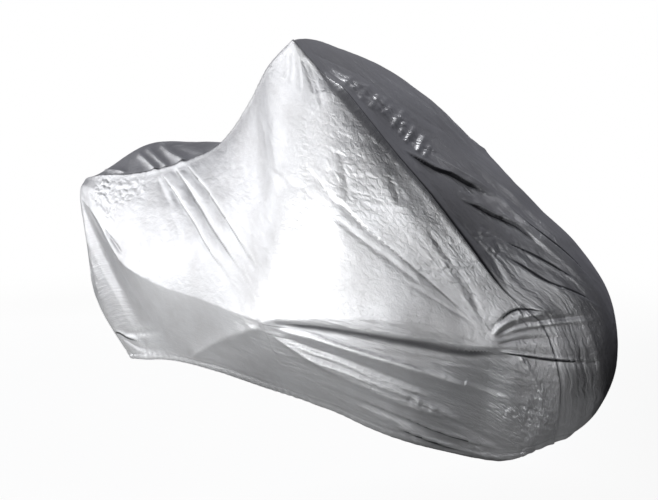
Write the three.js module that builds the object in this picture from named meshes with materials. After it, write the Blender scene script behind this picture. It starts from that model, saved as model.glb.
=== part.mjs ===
// Fitted silver motorcycle cover of thin coated cloth, in its draped shape: hollow and open below.
// Three sewn panels: a centre strip from the rear hem to the front hem, and a panel on each side.
// Millimetres. +X runs to the front, +Y to the left, +Z up.
// In the tables x is measured from where the front folds meet and z from the ground. The finished group
// is moved so that its origin lies under the cloth at the saddle, where the cover is carried.
import * as THREE from "three";

// Driving dimensions.
const CLOTH = 2; // thickness of the coated cloth
const CASING = 6; // thickness of the turned-up casing along the hem
const CASING_SHARE = { rear: 0.13, front: 0.25, side: 0.1 }; // of the last stretch before each edge
const SEAM_GAP = 0.3; // between two sewn panels
const STEPS_ACROSS = { seam: 6, ridge: 3, crease: 9, hem: 8 }; // grid steps up to each guide line
const STEPS_FOLD = 16; // straight steps along each fold
const SADDLE = { x: -1250, z: 822 }; // top of the cloth over the saddle

// The drape is uneven: the left grip corner lies this far from the mirrored right one.
const BAR_TURN = new THREE.Vector3(-236, -60, -141);

// Guide lines of the cloth, from the centre line out to the hem, and how rounded it is across each: up to
// one section and from another on, with a smooth change between them.
const GUIDES = ["spine", "seam", "ridge", "crease", "hem"];
const ROUNDNESS = { spine: [1, 1], seam: [0.2, 0.95], ridge: [0.7, 0.95], crease: [0.35, 0.7], hem: [0.6, 0.6] };
const ROUNDNESS_CHANGE = [13, 14.5];

// Sections from the rear hem to the front hem, each with the place of every guide line on the right.
// Steps are the grid steps to the next section. Turn is the share of BAR_TURN that the seam and the
// ridge take on the left.
const STATIONS = [
  { at: "rear hem", steps: 3, turn: 0, spine: [-1508, 0, 88], seam: [-1504, -55, 84],
    ridge: [-1498, -90, 76], crease: [-1494, -117, 64], hem: [-1464, -131, 58] },
  { at: "rear wheel", steps: 3, turn: 0, spine: [-1688, 0, 286], seam: [-1685, -70, 282],
    ridge: [-1680, -104, 276], crease: [-1660, -131, 263], hem: [-1410, -141, 67] },
  { at: "number plate", steps: 3, turn: 0, spine: [-1760, 0, 480], seam: [-1752, -72, 480],
    ridge: [-1738, -104, 476], crease: [-1704, -128, 462], hem: [-1352, -147, 76] },
  { at: "tail", steps: 4, turn: 0, spine: [-1796, 0, 632], seam: [-1778, -72, 648],
    ridge: [-1772, -94, 636], crease: [-1750, -112, 606], hem: [-1295, -153, 88] },
  { at: "tail top", steps: 4, turn: 0, spine: [-1690, 0, 706], seam: [-1640, -126, 690],
    ridge: [-1630, -146, 650], crease: [-1590, -172, 556], hem: [-1228, -160, 98] },
  { at: "saddle back", steps: 6, turn: 0, spine: [-1480, 0, 806], seam: [-1400, -162, 714],
    ridge: [-1395, -190, 620], crease: [-1400, -222, 428], hem: [-1132, -174, 106] },
  { at: "saddle", steps: 6, turn: 0, spine: [-1250, 0, 822], seam: [-1190, -170, 752],
    ridge: [-1180, -215, 620], crease: [-1160, -268, 380], hem: [-992, -196, 109] },
  { at: "tank", steps: 6, turn: 0.06, spine: [-1000, 0, 842], seam: [-958, -188, 826],
    ridge: [-935, -250, 660], crease: [-880, -316, 368], hem: [-812, -212, 108] },
  { at: "peg", steps: 4, turn: 0.4, spine: [-780, 0, 948], seam: [-708, -292, 978],
    ridge: [-668, -326, 770], crease: [-605, -350, 352], hem: [-612, -212, 99] },
  { at: "bar", steps: 4, turn: 0.78, spine: [-660, 0, 1036], seam: [-548, -370, 1078],
    ridge: [-520, -384, 930], crease: [-530, -346, 370], hem: [-526, -207, 90] },
  { at: "grip", steps: 4, turn: 1, spine: [-546, 0, 1099], seam: [-414, -420, 1141],
    ridge: [-398, -412, 1080], crease: [-450, -336, 384], hem: [-440, -200, 78] },
  { at: "lamp", steps: 4, turn: 0.6, spine: [-311, 0, 992], seam: [-245, -350, 942],
    ridge: [-262, -366, 905], crease: [-330, -306, 396], hem: [-326, -184, 50] },
  { at: "fork", steps: 4, turn: 0.25, spine: [-130, 0, 846], seam: [-110, -272, 772],
    ridge: [-150, -280, 690], crease: [-190, -257, 402], hem: [-216, -157, 29] },
  { at: "fender", steps: 4, turn: 0.08, spine: [52, 0, 706], seam: [-15, -206, 630],
    ridge: [-68, -206, 545], crease: [-78, -197, 394], hem: [-113, -122, 16] },
  { at: "axle", steps: 4, turn: 0, spine: [187, 0, 613], seam: [70, -150, 505],
    ridge: [24, -141, 374], crease: [20, -138, 350], hem: [-35, -94, 9] },
  { at: "wheel front", steps: 4, turn: 0, spine: [292, 0, 482], seam: [165, -112, 418],
    ridge: [128, -118, 348], crease: [116, -118, 298], hem: [25, -76, 10] },
  { at: "wheel low", steps: 3, turn: 0, spine: [318, 0, 310], seam: [210, -90, 276],
    ridge: [176, -98, 240], crease: [158, -98, 208], hem: [66, -66, 22] },
  { at: "toe", steps: 4, turn: 0, spine: [264, 0, 170], seam: [196, -66, 152],
    ridge: [170, -76, 132], crease: [150, -80, 116], hem: [88, -62, 32] },
  { at: "front hem", steps: 0, turn: 0, spine: [190, 0, 92], seam: [166, -30, 80],
    ridge: [146, -44, 68], crease: [126, -52, 56], hem: [106, -58, 44] },
];

// Sections where a guide line has a corner instead of a round bend.
const CORNERS = {
  spine: [],
  seam: ["grip"],
  ridge: ["grip", "axle"],
  crease: ["tail", "peg"],
  hem: [],
};

// Sides of the cover, as the sign of y.
const RIGHT = -1;
const LEFT = 1;

// Hollows where the cloth spans open space. A place is the number of a section and of a guide line.
const HOLLOWS = [
  { side: RIGHT, at: [8.0, 1.9], size: 190, depth: 18 },
  { side: RIGHT, at: [6.5, 3.5], size: 170, depth: 16 },
  { side: RIGHT, at: [11.5, 0.66], size: 100, depth: 16 },
  { side: LEFT, at: [7.6, 1.9], size: 190, depth: 24 },
  { side: LEFT, at: [6.5, 3.5], size: 170, depth: 22 },
  { side: LEFT, at: [11.3, 3.5], size: 180, depth: 18 },
  { side: LEFT, at: [11.3, 0.7], size: 90, depth: 14 },
];

// Main folds along lines of places, from the tight end to the loose end: ridges, and troughs with a
// negative height.
const FOLDS = [
  // Right flank, from the edge of the saddle down to the peg.
  { side: RIGHT, path: [[5.94, 1.29], [6.62, 2.1], [7.18, 2.54], [7.68, 2.84]], width: 22, height: -7 },
  { side: RIGHT, path: [[6.23, 1.22], [6.88, 2.07], [7.43, 2.49], [7.95, 2.8]], width: 24, height: -10 },
  { side: RIGHT, path: [[6.48, 1.21], [7.21, 2.06], [7.72, 2.46], [8.2, 2.73]], width: 22, height: -8 },
  // Right flank, from under the grip to the axle.
  { side: RIGHT, path: [[9.84, 2.34], [11.12, 2.37], [12.9, 2.42], [13.9, 2.0]], width: 24, height: -5 },
  // Right skirt, fanning out from the peg to the front.
  { side: RIGHT, path: [[8.4, 3.03], [10.3, 3.1], [12.9, 3.15], [14.4, 2.93]], width: 32, height: -12 },
  { side: RIGHT, path: [[8.4, 3.08], [10.2, 3.22], [12.0, 3.34], [14.5, 3.32]], width: 30, height: 8 },
  { side: RIGHT, path: [[8.9, 3.22], [11.1, 3.41], [12.4, 3.53], [14.6, 3.54]], width: 30, height: -7 },
  { side: RIGHT, path: [[8.1, 3.13], [10.0, 3.46], [11.9, 3.65], [14.2, 3.7]], width: 32, height: 11 },
  { side: RIGHT, path: [[10.4, 3.73], [11.8, 3.82], [12.8, 3.9], [13.95, 3.95]], width: 30, height: -9 },
  // Right skirt, from the peg back to the hem, and round the rear corner.
  { side: RIGHT, path: [[7.95, 3.07], [7.49, 3.25], [6.17, 3.73], [5.2, 3.94]], width: 60, height: 12 },
  { side: RIGHT, path: [[0.9, 3.5], [1.8, 3.78], [2.8, 3.95]], width: 34, height: -6 },
  // Right of the centre strip, in front of the grips.
  { side: RIGHT, path: [[10.4, 0.86], [11.07, 0.69], [11.77, 0.6]], width: 38, height: 9 },
  { side: RIGHT, path: [[11.5, 0.84], [12.34, 0.51], [12.8, 0.4]], width: 30, height: -7 },
  { side: RIGHT, path: [[12.45, 0.72], [13.15, 0.44], [13.8, 0.38]], width: 30, height: -6 },
  { side: RIGHT, path: [[12.7, 0.33], [13.56, 0.26], [14.6, 0.11]], width: 34, height: 6 },
  { side: RIGHT, path: [[13.4, 0.64], [14.06, 0.53], [14.95, 0.15]], width: 28, height: -6 },
  // Right side of the front, fanning out from the axle.
  { side: RIGHT, path: [[14.1, 1.85], [14.33, 1.3], [14.8, 0.74]], width: 26, height: -8 },
  { side: RIGHT, path: [[14.15, 1.9], [14.46, 1.33], [14.9, 0.76]], width: 24, height: 6 },
  { side: RIGHT, path: [[14.2, 1.95], [15.13, 0.91], [15.36, 0.14]], width: 28, height: -7 },
  { side: RIGHT, path: [[14.3, 2.6], [15.54, 1.18], [15.83, 0.19]], width: 30, height: -8 },
  // Across the saddle.
  { side: RIGHT, path: [[5.7, 0.97], [5.1, 0.36]], width: 34, height: 10 },
  { side: RIGHT, path: [[6.2, 0.98], [5.45, 0.32]], width: 34, height: 11 },
  { side: RIGHT, path: [[6.6, 0.88], [6.1, 0.4]], width: 34, height: 9 },
  { side: LEFT, path: [[5.9, 0.97], [5.3, 0.4]], width: 34, height: 9 },
  // Left flank and skirt.
  { side: LEFT, path: [[6.0, 1.2], [6.7, 2.0], [7.3, 2.42], [7.95, 2.85]], width: 26, height: -9 },
  { side: LEFT, path: [[6.6, 1.15], [7.25, 2.0], [7.75, 2.42], [8.1, 2.8]], width: 24, height: -7 },
  { side: LEFT, path: [[9.6, 2.2], [11.3, 2.45], [12.7, 2.45], [13.8, 2.1]], width: 28, height: -6 },
  { side: LEFT, path: [[8.3, 3.05], [11.0, 3.2], [13.5, 3.1], [14.4, 2.8]], width: 32, height: -10 },
  { side: LEFT, path: [[8.2, 3.12], [10.6, 3.4], [13.4, 3.5]], width: 32, height: 9 },
  { side: LEFT, path: [[8.05, 3.2], [9.6, 3.62], [12.4, 3.84]], width: 34, height: 11 },
  { side: LEFT, path: [[7.95, 3.1], [6.9, 3.5], [5.7, 3.92]], width: 60, height: 12 },
  { side: LEFT, path: [[0.9, 3.4], [2.0, 3.8], [2.9, 3.95]], width: 34, height: -6 },
  // Left of the centre strip and of the front.
  { side: LEFT, path: [[10.3, 0.75], [11.2, 0.6], [12.3, 0.5]], width: 38, height: 7 },
  { side: LEFT, path: [[11.0, 0.84], [12.0, 0.68], [13.1, 0.5]], width: 36, height: -7 },
  { side: LEFT, path: [[14.1, 1.85], [14.5, 1.2], [14.9, 0.7]], width: 28, height: -8 },
];

const LAST = STATIONS.length - 1;
const EDGE = GUIDES.length - 1;
const { clamp, lerp, smoothstep } = THREE.MathUtils;

// A guide line on one side, as curves that meet at its corners.
function guideLine(guide, side) {
  const points = STATIONS.map((row) => {
    const [x, y, z] = row[guide];
    const point = new THREE.Vector3(x, side * Math.abs(y), z);
    const turns = side === LEFT && (guide === "seam" || guide === "ridge");
    return turns ? point.addScaledVector(BAR_TURN, row.turn) : point;
  });
  const corners = CORNERS[guide].map((name) => STATIONS.findIndex((row) => row.at === name));
  const stops = [0, ...corners, LAST];
  return stops.slice(1).map((stop, k) => {
    const start = stops[k];
    return { start, stop, curve: new THREE.CatmullRomCurve3(points.slice(start, stop + 1)) };
  });
}

// All nine guide lines, from the right hem to the left hem.
const LINES = [
  ...GUIDES.map((guide) => guideLine(guide, RIGHT)).reverse(),
  ...GUIDES.slice(1).map((guide) => guideLine(guide, LEFT)),
];

// The nine guide points of the section at u, which may lie between two rows of the table.
function section(u) {
  return LINES.map((line) => {
    const { start, stop, curve } = line.find((stretch) => u <= stretch.stop);
    return curve.getPoint((u - start) / (stop - start));
  });
}

// Unit direction of the cloth at guide point k of the section at u, towards guide point k + step.
function directionAcross(u, points, k, step) {
  const chord = points[k + step].clone().sub(points[k]);
  const ahead = chord.clone().normalize();
  const back = points[k - step];
  if (!back) return ahead;
  const before = points[k].clone().sub(back);
  const smooth = before.clone().divideScalar(before.lengthSq());
  smooth.addScaledVector(chord, 1 / chord.lengthSq()).normalize();
  const [rear, front] = ROUNDNESS[GUIDES[Math.abs(k - EDGE)]];
  return ahead.lerp(smooth, lerp(rear, front, smoothstep(u, ...ROUNDNESS_CHANGE))).normalize();
}

// Smooth cloth at section u and guide place v: 0 on the spine, -4 on the right hem, 4 on the left hem.
function smoothCloth(u, v) {
  const points = section(u);
  const k = Math.min(Math.floor(v + EDGE), 2 * EDGE - 1);
  const [from, to] = [points[k], points[k + 1]];
  const reach = from.distanceTo(to) / 3;
  const leave = directionAcross(u, points, k, 1).multiplyScalar(reach).add(from);
  const arrive = directionAcross(u, points, k + 1, -1).multiplyScalar(reach).add(to);
  return new THREE.CubicBezierCurve3(from, leave, arrive, to).getPoint(v + EDGE - k);
}

// Outward direction of the smooth cloth, from short steps along and across it.
function outward(u, v) {
  const step = 0.04;
  const along = smoothCloth(Math.min(u + step, LAST), v).sub(smoothCloth(Math.max(u - step, 0), v));
  const across = smoothCloth(u, Math.min(v + step, EDGE)).sub(smoothCloth(u, Math.max(v - step, -EDGE)));
  return along.cross(across).normalize();
}

// A fold's line as short straight segments through its places on the smooth cloth.
function foldSegments({ side, path }) {
  const places = path.map(([u, v]) => smoothCloth(u, side * v));
  const points = new THREE.CatmullRomCurve3(places).getPoints(STEPS_FOLD);
  return points.slice(1).map((point, i) => new THREE.Line3(points[i], point));
}

const folds = FOLDS.map((fold) => ({ ...fold, segments: foldSegments(fold) }));
const hollows = HOLLOWS.map((row) => ({ ...row, centre: smoothCloth(row.at[0], row.side * row.at[1]) }));

// Push of one fold on a point: a bell shape across it that is narrow at the tight end and fades at both.
function foldPush({ segments, width, height }, point) {
  const spot = new THREE.Vector3();
  let distance = Infinity;
  let place = 0;
  segments.forEach((segment, k) => {
    const t = segment.closestPointToPointParameter(point, true);
    const away = segment.at(t, spot).distanceTo(point);
    if (away < distance) {
      distance = away;
      place = (k + t) / segments.length;
    }
  });
  const taper = smoothstep(place, 0, 0.15) * smoothstep(1 - place, 0, 0.25);
  const spread = width * (0.6 + 0.4 * smoothstep(place, 0, 0.4));
  return height * taper * Math.exp(-((distance / spread) ** 2));
}

// How far the folds and hollows push a point of the cloth outwards.
function relief(point) {
  let push = 0;
  for (const fold of folds) push += foldPush(fold, point);
  for (const { centre, size, depth } of hollows) {
    push -= depth * Math.exp(-point.distanceToSquared(centre) / size ** 2);
  }
  return push;
}

// Sections of the grid, with one more beside the rear hem for its casing.
function gridAlong() {
  const lines = STATIONS.flatMap(({ steps }, k) => Array.from({ length: steps }, (_, i) => k + i / steps));
  lines.splice(1, 0, CASING_SHARE.rear);
  return [...lines, LAST];
}

// Guide places of the grid from the right hem to the left hem, with one more beside each for the casing.
function gridAcross() {
  const half = GUIDES.slice(1).flatMap((guide, k) => {
    const steps = STEPS_ACROSS[guide];
    return Array.from({ length: steps }, (_, i) => k + (i + 1) / steps);
  });
  half.splice(-1, 0, EDGE - CASING_SHARE.side);
  return [...half.map((v) => -v).reverse(), 0, ...half];
}

const ALONG = gridAlong();
const ACROSS = gridAcross();

// The whole outer face of the cloth as a grid of points.
const outer = ALONG.map((u) =>
  ACROSS.map((v) => {
    const point = smoothCloth(u, v);
    return point.addScaledVector(outward(u, v), relief(point));
  }),
);

// Grid point, or the nearest one inside the edge, and the directions of the folded cloth there.
const gridPoint = (i, j) => outer[clamp(i, 0, ALONG.length - 1)][clamp(j, 0, ACROSS.length - 1)];
const stepAlong = (i, j) => gridPoint(i + 1, j).clone().sub(gridPoint(i - 1, j));
const stepAcross = (i, j) => gridPoint(i, j + 1).clone().sub(gridPoint(i, j - 1));
const gridNormal = (i, j) => stepAlong(i, j).cross(stepAcross(i, j)).normalize();

// Cloth thickness at a grid point: more within the casing of the hem.
function thickness(i, j) {
  const rear = ALONG[i] <= CASING_SHARE.rear;
  const front = ALONG[i] >= LAST - CASING_SHARE.front;
  const side = Math.abs(ACROSS[j]) >= EDGE - CASING_SHARE.side;
  return rear || front || side ? CASING : CLOTH;
}

// One panel between guide places low and high, as a closed shell with its thickness inwards. Each cell is
// split along the same diagonal on both faces, so that the thickness stays even where the cloth twists.
function panelGeometry(low, high) {
  const columns = [...ACROSS.keys()].filter((j) => ACROSS[j] >= low && ACROSS[j] <= high);
  const width = columns.length;
  const outside = [];
  const inside = [];
  for (const i of ALONG.keys()) {
    columns.forEach((j, c) => {
      const normal = gridNormal(i, j);
      const inward = stepAcross(i, j).projectOnPlane(normal).normalize();
      const sewnLow = c === 0 && low > -EDGE;
      const sewnHigh = c === width - 1 && high < EDGE;
      const shift = (Number(sewnLow) - Number(sewnHigh)) * (SEAM_GAP / 2);
      const point = gridPoint(i, j).clone().addScaledVector(inward, shift);
      outside.push(point);
      inside.push(point.clone().addScaledVector(normal, -thickness(i, j)));
    });
  }
  const index = [];
  const deep = outside.length;
  const at = (i, c) => i * width + c;
  const quad = (a, b, c, d) => index.push(a, b, c, a, c, d);
  const rim = (a, b) => quad(b, a, a + deep, b + deep);
  const end = ALONG.length - 1;
  for (let i = 0; i < end; i++) {
    for (let c = 0; c < width - 1; c++) {
      const [rearLow, frontLow] = [at(i, c), at(i + 1, c)];
      const [rearHigh, frontHigh] = [rearLow + 1, frontLow + 1];
      quad(rearLow, frontLow, frontHigh, rearHigh);
      quad(rearLow + deep, rearHigh + deep, frontHigh + deep, frontLow + deep);
    }
    rim(at(i, 0), at(i + 1, 0));
    rim(at(i + 1, width - 1), at(i, width - 1));
  }
  for (let c = 0; c < width - 1; c++) {
    rim(at(0, c + 1), at(0, c));
    rim(at(end, c), at(end, c + 1));
  }
  const geometry = new THREE.BufferGeometry().setFromPoints([...outside, ...inside]);
  geometry.setIndex(index);
  geometry.computeVertexNormals();
  return geometry;
}

const silverCloth = new THREE.MeshStandardMaterial({ color: 0xb9bbc0, roughness: 0.42, metalness: 0.6 });

// Panels by the guide places they lie between: the seams run along the first guide line on each side.
const SEAM = GUIDES.indexOf("seam");
const PANELS = [
  { name: "panel_right", low: -EDGE, high: -SEAM },
  { name: "panel_centre", low: -SEAM, high: SEAM },
  { name: "panel_left", low: SEAM, high: EDGE },
];

const cover = new THREE.Group();
for (const { name, low, high } of PANELS) {
  const panel = new THREE.Mesh(panelGeometry(low, high), silverCloth.clone());
  panel.name = name;
  cover.add(panel);
}
cover.position.set(-SADDLE.x, 0, CLOTH - SADDLE.z);

const part = new THREE.Group();
part.add(cover);

export default part;
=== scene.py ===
import math

import bpy
import numpy as np
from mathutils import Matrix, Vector


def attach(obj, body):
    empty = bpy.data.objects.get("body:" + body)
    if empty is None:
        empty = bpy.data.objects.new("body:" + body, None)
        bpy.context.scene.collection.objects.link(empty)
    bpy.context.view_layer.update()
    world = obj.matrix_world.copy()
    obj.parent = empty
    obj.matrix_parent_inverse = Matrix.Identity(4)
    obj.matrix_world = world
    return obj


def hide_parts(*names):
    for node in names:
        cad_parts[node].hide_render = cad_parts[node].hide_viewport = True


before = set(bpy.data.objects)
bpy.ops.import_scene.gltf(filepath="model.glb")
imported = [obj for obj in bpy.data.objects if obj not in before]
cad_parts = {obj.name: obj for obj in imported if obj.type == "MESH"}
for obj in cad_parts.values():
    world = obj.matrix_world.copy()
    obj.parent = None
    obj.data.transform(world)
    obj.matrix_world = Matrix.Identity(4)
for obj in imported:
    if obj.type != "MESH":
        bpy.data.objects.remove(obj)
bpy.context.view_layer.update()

# Panels of the cover: thin woven polyester with a silver polyurethane coating, cut as a centre strip
# and two sides. The sides are lapped over the strip and sewn to it, and the hem is turned up over an
# elastic. Folds run between the high corners, a point on each side, the sides of the nose and the hem.
RIGHT, LEFT = -1, 1
SPINE, SEAM, RIDGE, CREASE, HEM = range(5)  # guide lines from the middle of the cloth out to its hem
ORIGIN_MM = np.array([-1250.0, 0.0, 820.0])  # the part's origin, under the top of the seat part
CORNER_MM = np.array([-236.0, -60.0, -141.0])  # shift of the left high corner from the mirrored right one
# Roundness of the cloth across each guide line, up to one section and from another on.
ROUNDNESS = np.array([(1, 0.2, 0.7, 0.35, 0.6), (1, 0.95, 0.95, 0.7, 0.6)])
ROUNDNESS_CHANGE = (13, 14.5)

# Sections from the rear hem to the front hem, in mm: the share of the left corner's shift that the left
# seam and ridge take, and the places of spine, seam, ridge, crease and hem, with y out from the middle.
SECTIONS = [
    ("rear hem", 0, (-1508, 0, 88), (-1504, 55, 84),
     (-1498, 90, 76), (-1494, 117, 64), (-1464, 131, 58)),
    ("rear low", 0, (-1688, 0, 286), (-1685, 70, 282),
     (-1680, 104, 276), (-1660, 131, 263), (-1410, 141, 67)),
    ("rear middle", 0, (-1760, 0, 480), (-1752, 72, 480),
     (-1738, 104, 476), (-1704, 128, 462), (-1352, 147, 76)),
    ("tail", 0, (-1796, 0, 632), (-1778, 72, 648),
     (-1772, 94, 636), (-1750, 112, 606), (-1295, 153, 88)),
    ("tail top", 0, (-1690, 0, 706), (-1640, 126, 690),
     (-1630, 146, 650), (-1590, 172, 556), (-1228, 160, 98)),
    ("seat back", 0, (-1480, 0, 806), (-1400, 162, 714),
     (-1395, 190, 620), (-1400, 222, 428), (-1132, 174, 106)),
    ("seat", 0, (-1250, 0, 822), (-1190, 170, 752),
     (-1180, 215, 620), (-1160, 268, 380), (-992, 196, 109)),
    ("seat front", 0.06, (-1000, 0, 842), (-958, 188, 826),
     (-935, 250, 660), (-880, 316, 368), (-812, 212, 108)),
    ("side point", 0.4, (-780, 0, 948), (-708, 292, 978),
     (-668, 326, 770), (-605, 350, 352), (-612, 212, 99)),
    ("rise", 0.78, (-660, 0, 1036), (-548, 370, 1078),
     (-520, 384, 930), (-530, 346, 370), (-526, 207, 90)),
    ("high corner", 1, (-546, 0, 1099), (-414, 420, 1141),
     (-398, 412, 1080), (-450, 336, 384), (-440, 200, 78)),
    ("brow", 0.6, (-311, 0, 992), (-245, 350, 942),
     (-262, 366, 905), (-330, 306, 396), (-326, 184, 50)),
    ("slope", 0.25, (-130, 0, 846), (-110, 272, 772),
     (-150, 280, 690), (-190, 257, 402), (-216, 157, 29)),
    ("slope foot", 0.08, (52, 0, 706), (-15, 206, 630),
     (-68, 206, 545), (-78, 197, 394), (-113, 122, 16)),
    ("nose point", 0, (187, 0, 613), (70, 150, 505),
     (24, 141, 374), (20, 138, 350), (-35, 94, 9)),
    ("nose", 0, (292, 0, 482), (165, 112, 418),
     (128, 118, 348), (116, 118, 298), (25, 76, 10)),
    ("nose low", 0, (318, 0, 310), (210, 90, 276),
     (176, 98, 240), (158, 98, 208), (66, 66, 22)),
    ("toe", 0, (264, 0, 170), (196, 66, 152),
     (170, 76, 132), (150, 80, 116), (88, 62, 32)),
    ("front hem", 0, (190, 0, 92), (166, 30, 80),
     (146, 44, 68), (126, 52, 56), (106, 58, 44)),
]
LAST = len(SECTIONS) - 1
NAMES = [row[0] for row in SECTIONS]
SHIFT = np.array([row[1] for row in SECTIONS], float)
PLACES = np.array([row[2:] for row in SECTIONS], float)
CORNERS = {SEAM: ["high corner"], RIDGE: ["high corner", "nose point"], CREASE: ["tail", "side point"]}


def unit(a):
    """Each vector of an array divided by its length."""
    return a / np.maximum(np.linalg.norm(a, axis=-1, keepdims=True), 1e-9)


def ramp(x, low, high):
    """Smooth step from 0 at low to 1 at high: three squares less two cubes of the share of the way."""
    t = np.clip((x - low) / (high - low), 0, 1)
    return t * t * (3 - 2 * t)


def through(points, s):
    """Centripetal Catmull-Rom curve through points, at places s counted in points.

    The slope at each point weighs the chords beside it by the square roots of their lengths, and a
    cubic joins each two points with those slopes.
    """
    ends = np.vstack([2 * points[0] - points[1], points, 2 * points[-1] - points[-2]])
    k = np.clip(np.floor(s).astype(int), 0, len(points) - 2)
    w = (s - k)[:, None]
    a, b, c, d = (ends[k + i] for i in range(4))
    ab, bc, cd = (np.sqrt(np.linalg.norm(q - p, axis=1))[:, None] for p, q in ((a, b), (b, c), (c, d)))
    leave = bc * ((b - a) / ab - (c - a) / (ab + bc) + (c - b) / bc)
    arrive = bc * ((c - b) / bc - (d - b) / (bc + cd) + (d - c) / cd)
    return (b + leave * w + (3 * (c - b) - 2 * leave - arrive) * w**2
            + (2 * (b - c) + leave + arrive) * w**3)


def guide_line(guide, side, u):
    """Guide line at sections u: smooth curves through its places, which meet at the line's corners."""
    points = PLACES[:, guide] * (1, side, 1)
    if side == LEFT and guide in (SEAM, RIDGE):
        points = points + SHIFT[:, None] * CORNER_MM
    stops = [0, *(NAMES.index(name) for name in CORNERS.get(guide, [])), LAST]
    line = np.zeros((len(u), 3))
    for start, stop in zip(stops, stops[1:]):
        here = (u >= start) & (u <= stop)
        line[here] = through(points[start:stop + 1], u[here] - start)
    return line


def smooth_cloth(u, v):
    """Cloth without folds at sections u (one each row) and guide places v (a grid), right hem at -4.

    Across a section a cubic Bezier joins each two of the nine guide points. Its direction at a guide
    point lies between the chord and the smooth direction there, by the guide line's roundness.
    """
    lines = [guide_line(g, RIGHT, u) for g in (HEM, CREASE, RIDGE, SEAM, SPINE)]
    lines += [guide_line(g, LEFT, u) for g in (SEAM, RIDGE, CREASE, HEM)]
    points = np.stack(lines)
    chord = np.diff(points, axis=0)
    length = np.linalg.norm(chord, axis=-1, keepdims=True)
    ahead = chord / length
    smooth = unit(ahead[:-1] / length[:-1] + ahead[1:] / length[1:])
    front = ramp(u, *ROUNDNESS_CHANGE)[:, None]
    rounded = ROUNDNESS[0] * (1 - front) + ROUNDNESS[1] * front
    share = rounded.T[np.abs(np.arange(1, 8) - HEM)][..., None]
    leave, arrive = ahead.copy(), ahead.copy()
    leave[1:] = unit(ahead[1:] * (1 - share) + smooth * share)
    arrive[:-1] = unit(ahead[:-1] * (1 - share) + smooth * share)
    near = points[:-1] + leave * length / 3
    far = points[1:] - arrive * length / 3
    k = np.clip(np.floor(v + HEM).astype(int), 0, 2 * HEM - 1)
    w = (v + HEM - k)[..., None]
    row = np.arange(len(u))[:, None]
    return (points[k, row] * (1 - w)**3 + 3 * near[k, row] * w * (1 - w)**2
            + 3 * far[k, row] * w**2 * (1 - w) + points[k + 1, row] * w**3)


def outward(u, v):
    """Unit normal of the smooth cloth: the cross product of short steps along and across it."""
    step = 0.04
    along = (smooth_cloth(np.minimum(u + step, LAST), v) - smooth_cloth(np.maximum(u - step, 0), v))
    across = (smooth_cloth(u, np.minimum(v + step, HEM)) - smooth_cloth(u, np.maximum(v - step, -HEM)))
    return unit(np.cross(along, across))


def spot(side, place):
    """Point of the smooth cloth at a place (section, guide place) on one side."""
    return smooth_cloth(np.array([place[0]], float), np.array([[side * place[1]]], float))[0, 0]


SCATTER = (374761393, 668265263, 1274126177)  # large odd numbers that spread lattice corners over the draws
SCATTER_AGAIN = 1103515245
WORD = 0xFFFFFFFF  # the spread numbers are cut to 32 bits
DRIFT_GAIN = 1.6  # brings the blended slopes to about -1 to 1


def drift(points, size, seed):
    """Smooth noise from about -1 to 1 with lumps of one size: slopes drawn at the corners of a cubic
    lattice are carried to each point and blended with a fifth-power step."""
    slopes = unit(np.random.default_rng(seed).normal(size=(256, 3)))
    at = points / size
    cell = np.floor(at).astype(np.int64)
    part = at - cell
    blend = part**3 * (part * (6 * part - 15) + 10)
    total = np.zeros(points.shape[:-1])
    for corner in np.ndindex(2, 2, 2):
        mixed = ((cell + corner) * SCATTER).sum(-1) & WORD
        mixed = ((mixed ^ (mixed >> 13)) * SCATTER_AGAIN) & WORD
        slope = slopes[(mixed >> 11) & 255]
        weight = np.where(corner, blend, 1 - blend).prod(-1)
        total += weight * (slope * (part - corner)).sum(-1)
    return DRIFT_GAIN * total


# Hollows where the cloth hangs free, and swells, which are hollows of negative depth: side, place, size
# and depth in mm.
HOLLOWS = [
    (RIGHT, (8, 1.9), 190, 18), (RIGHT, (6.5, 3.5), 170, 16), (RIGHT, (11.5, 0.66), 100, 16),
    (LEFT, (7.6, 1.9), 190, 24), (LEFT, (6.5, 3.5), 170, 22), (LEFT, (11.3, 3.5), 180, 18),
    (LEFT, (11.3, 0.7), 90, 14), (RIGHT, (14.05, 2.4), 120, -26), (LEFT, (14.05, 2.4), 120, -16),
    (LEFT, (11.9, 0.3), 70, 7), (LEFT, (12.76, 0.05), 80, -6),
]

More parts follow.
